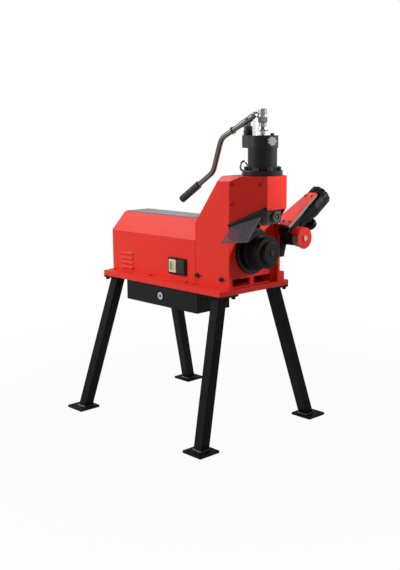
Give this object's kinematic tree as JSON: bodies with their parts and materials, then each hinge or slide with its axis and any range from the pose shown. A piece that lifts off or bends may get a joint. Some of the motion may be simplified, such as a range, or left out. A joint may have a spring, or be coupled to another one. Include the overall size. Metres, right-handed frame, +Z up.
{
  "type": "pipe roll groover",
  "caption": "Bench-height machine on splayed legs that rolls a groove into pipe ends between a motor-driven lower roll and an upper roll pressed down by a hand-pumped cylinder.",
  "frame": {"origin": "on the floor, at the centre of the four anchor holes, below the middle of the table", "axes": "+X towards the rolls, along the drive shaft; +Y away from the operator; +Z up"},
  "size_m": [0.8716, 0.7122, 1.227],
  "materials": {
    "red_paint": "semi-gloss red enamel",
    "black_paint": "satin black powder coat",
    "dark_steel": "oil-blacked steel",
    "bright_steel": "ground steel",
    "chrome": "bright plating",
    "cast_grey": "sand-cast grey",
    "grey_mat": "ribbed mat",
    "grip_rubber": "matt rubber",
    "black_plastic": "moulded, glossy",
    "switch_plastic": "moulded, satin",
    "start_plastic": "moulded, pale",
    "stop_plastic": "moulded, dark",
    "guard_sheet": "grey perforated sheet",
    "zinc_roller": "yellow zinc plating"
  },
  "bodies": {
    "frame": {"base_tray": "red_paint", "leg_roll_operator": "black_paint", "leg_roll_far": "black_paint", "leg_motor_operator": "black_paint", "leg_motor_far": "black_paint", "leg_bolts": "dark_steel", "drawer_case": "black_paint", "motor_cover": "red_paint", "cover_mat": "grey_mat", "cable_gland": "switch_plastic", "small_screws": "dark_steel", "switch_bezel": "switch_plastic", "side_plate_operator": "red_paint", "side_plate_far": "red_paint", "rear_bulkhead": "red_paint", "front_bulkhead": "red_paint", "front_plate": "red_paint", "cap_screws": "dark_steel", "head_top_plate": "red_paint", "head_back_cover": "red_paint", "corner_panel_operator": "red_paint", "corner_panel_far": "red_paint", "ram_guide": "red_paint", "main_bearings": "bright_steel", "bearing_cover": "dark_steel", "cylinder_barrel": "black_paint", "cylinder_head": "black_paint", "pump_link": "chrome", "filler_plug": "black_plastic", "lifting_eye": "bright_steel", "guard_hinge_bar": "black_paint", "stabilizer_bracket": "black_paint", "stabilizer_arm": "black_paint", "stabilizer_rail": "bright_steel", "stabilizer_cover": "red_paint", "motor_body": "cast_grey", "gearbox_case": "cast_grey"},
    "drive": {"drive_shaft": "bright_steel", "drive_roll": "dark_steel"},
    "layshaft": {"lay_gear": "bright_steel"},
    "rotor": {"motor_rotor": "bright_steel"},
    "ram": {"ram_slide": "dark_steel", "ram_piston": "bright_steel", "upper_axle": "bright_steel"},
    "groove_roll": {"groove_roll": "dark_steel"},
    "depth_knob": {"depth_knob": "chrome"},
    "lever": {"pump_lever": "black_paint", "lever_grip": "grip_rubber"},
    "plunger": {"pump_plunger": "dark_steel"},
    "release_knob": {"release_knob": "bright_steel"},
    "guard": {"finger_guard": "guard_sheet"},
    "drawer": {"drawer_box": "black_paint"},
    "drawer_lock": {"drawer_lock": "chrome"},
    "start_button": {"start_button": "start_plastic"},
    "stop_button": {"stop_button": "stop_plastic"},
    "stabilizer_wheel": {"stabilizer_wheel": "black_plastic"},
    "slider": {"stabilizer_slider": "dark_steel", "roller_hood": "red_paint"},
    "stabilizer_roller": {"stabilizer_roller": "zinc_roller"},
    "lock_knob": {"lock_knob": "black_plastic"}
  },
  "joints": [
    {"name": "drive_spin", "type": "hinge", "parent": "frame", "child": "drive", "pos_m": [0, 0, 0.707], "axis": [1, 0, 0], "continuous": true},
    {"name": "layshaft_spin", "type": "hinge", "parent": "frame", "child": "layshaft", "pos_m": [0, 0, 0.657], "axis": [1, 0, 0], "continuous": true},
    {"name": "rotor_spin", "type": "hinge", "parent": "frame", "child": "rotor", "pos_m": [0, 0, 0.707], "axis": [1, 0, 0], "continuous": true},
    {"name": "ram_travel", "type": "slide", "parent": "frame", "child": "ram", "axis": [0, 0, -1], "range_m": [0, 0.033], "stiffness_N_per_m": 2000, "springref_m": -0.1},
    {"name": "groove_roll_spin", "type": "hinge", "parent": "ram", "child": "groove_roll", "pos_m": [0.3895, 0, 0.843], "axis": [1, 0, 0], "continuous": true},
    {"name": "depth_knob_turn", "type": "hinge", "parent": "frame", "child": "depth_knob", "pos_m": [0.38, 0, 1.18], "axis": [0, 0, 1], "range_deg": [0, 1800]},
    {"name": "pump_lever_swing", "type": "hinge", "parent": "frame", "child": "lever", "pos_m": [0.342, 0, 1.204], "axis": [0, 1, 0], "range_deg": [0, 51.4]},
    {"name": "plunger_stroke", "type": "slide", "parent": "frame", "child": "plunger", "axis": [0, 0, 1], "range_m": [0, 0.031]},
    {"name": "release_turn", "type": "hinge", "parent": "frame", "child": "release_knob", "pos_m": [0.44578, -0.02394, 1.112], "axis": [0.9397, -0.342, 0], "range_deg": [0, 180]},
    {"name": "guard_swing", "type": "hinge", "parent": "frame", "child": "guard", "pos_m": [0.34566, -0.14249, 0.81254], "axis": [-0.7297, -0.539, -0.4207], "range_deg": [0, 100]},
    {"name": "drawer_slide", "type": "slide", "parent": "frame", "child": "drawer", "axis": [0, -1, 0], "range_m": [0, 0.14]},
    {"name": "lock_turn", "type": "hinge", "parent": "drawer", "child": "drawer_lock", "pos_m": [0.004, -0.17, 0.513], "axis": [0, -1, 0], "range_deg": [0, 90]},
    {"name": "start_press", "type": "slide", "parent": "frame", "child": "start_button", "axis": [0, 1, 0], "range_m": [0, 0.003], "stiffness_N_per_m": 600, "springref_m": -0.002},
    {"name": "stop_press", "type": "slide", "parent": "frame", "child": "stop_button", "axis": [0, 1, 0], "range_m": [0, 0.003], "stiffness_N_per_m": 600, "springref_m": -0.002},
    {"name": "stabilizer_wheel_turn", "type": "hinge", "parent": "frame", "child": "stabilizer_wheel", "pos_m": [0.377, 0.31707, 0.88195], "axis": [0, -0.8241, -0.5664], "range_deg": [0, 3245]},
    {"name": "stabilizer_slide", "type": "slide", "parent": "frame", "child": "slider", "axis": [0, -0.8241, -0.5664], "range_m": [0, 0.045]},
    {"name": "stabilizer_roller_spin", "type": "hinge", "parent": "slider", "child": "stabilizer_roller", "pos_m": [0.419, 0.17102, 0.74735], "axis": [1, 0, 0], "continuous": true},
    {"name": "lock_knob_turn", "type": "hinge", "parent": "frame", "child": "lock_knob", "pos_m": [0.377, 0.27122, 0.78976], "axis": [0, 0.5664, -0.8241], "range_deg": [0, 180]}
  ],
  "couplings": [
    {"joint": "layshaft_spin", "follows": "drive_spin", "ratio": -4},
    {"joint": "rotor_spin", "follows": "drive_spin", "ratio": 28},
    {"joint": "plunger_stroke", "follows": "pump_lever_swing", "m_per_rad": 0.034334},
    {"joint": "stabilizer_wheel_turn", "follows": "stabilizer_slide", "rad_per_m": 1256.6}
  ]
}
